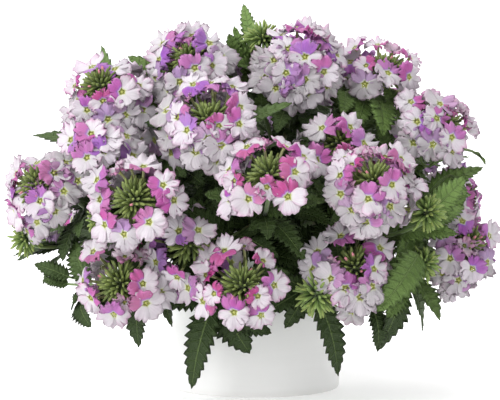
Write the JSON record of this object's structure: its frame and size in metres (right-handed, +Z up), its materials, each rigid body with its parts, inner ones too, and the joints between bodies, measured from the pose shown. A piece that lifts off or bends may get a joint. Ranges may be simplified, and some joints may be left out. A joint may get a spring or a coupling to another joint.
{
  "type": "potted verbena",
  "caption": "Potted garden verbena: a dome of toothed leaves and round heads of white florets with magenta petals round green buds, in a plain white cylindrical pot.",
  "frame": {"origin": "centre of the pot's flat base, on the floor", "axes": "+Z up along the pot's axis, -Y towards the plant's front, +X to the right seen from the front"},
  "size_m": [0.3018, 0.3061, 0.243],
  "materials": {
    "pot_white": "satin",
    "potting_soil": "matte",
    "foliage": "matte",
    "petals": "matte"
  },
  "bodies": {
    "root": {"head_back_left_high": "petals", "head_back_left_low": "petals", "head_back_low": "petals", "head_back_mid": "petals", "head_back_mid_left": "petals", "head_back_right_high": "petals", "head_back_right_low": "petals", "head_back_top": "petals", "head_back_top_left": "petals", "head_crown_right": "petals", "head_inner_left": "petals", "head_inner_right": "petals", "head_left_front": "petals", "head_left_mid": "petals", "head_low_left": "petals", "head_low_left_mid": "petals", "head_low_mid": "petals", "head_low_right": "petals", "head_middle": "petals", "head_right_front": "petals", "head_right_high": "petals", "head_right_low": "petals", "head_right_side": "petals", "head_top_left": "petals", "head_top_mid": "petals", "head_top_right": "petals", "head_upper_mid": "petals", "pot": "pot_white", "shoot_back_left": "foliage", "shoot_back_low": "foliage", "shoot_back_mid": "foliage", "shoot_back_right": "foliage", "shoot_back_top": "foliage", "shoot_crown_right": "foliage", "shoot_inner_right": "foliage", "shoot_left": "foliage", "shoot_left_front": "foliage", "shoot_low_left": "foliage", "shoot_low_mid": "foliage", "shoot_low_right": "foliage", "shoot_middle": "foliage", "shoot_right_front": "foliage", "shoot_right_high": "foliage", "shoot_right_low": "foliage", "shoot_top_left": "foliage", "shoot_top_mid": "foliage", "shoot_top_right": "foliage", "shoot_upper_mid": "foliage", "soil": "potting_soil"}
  },
  "joints": []
}
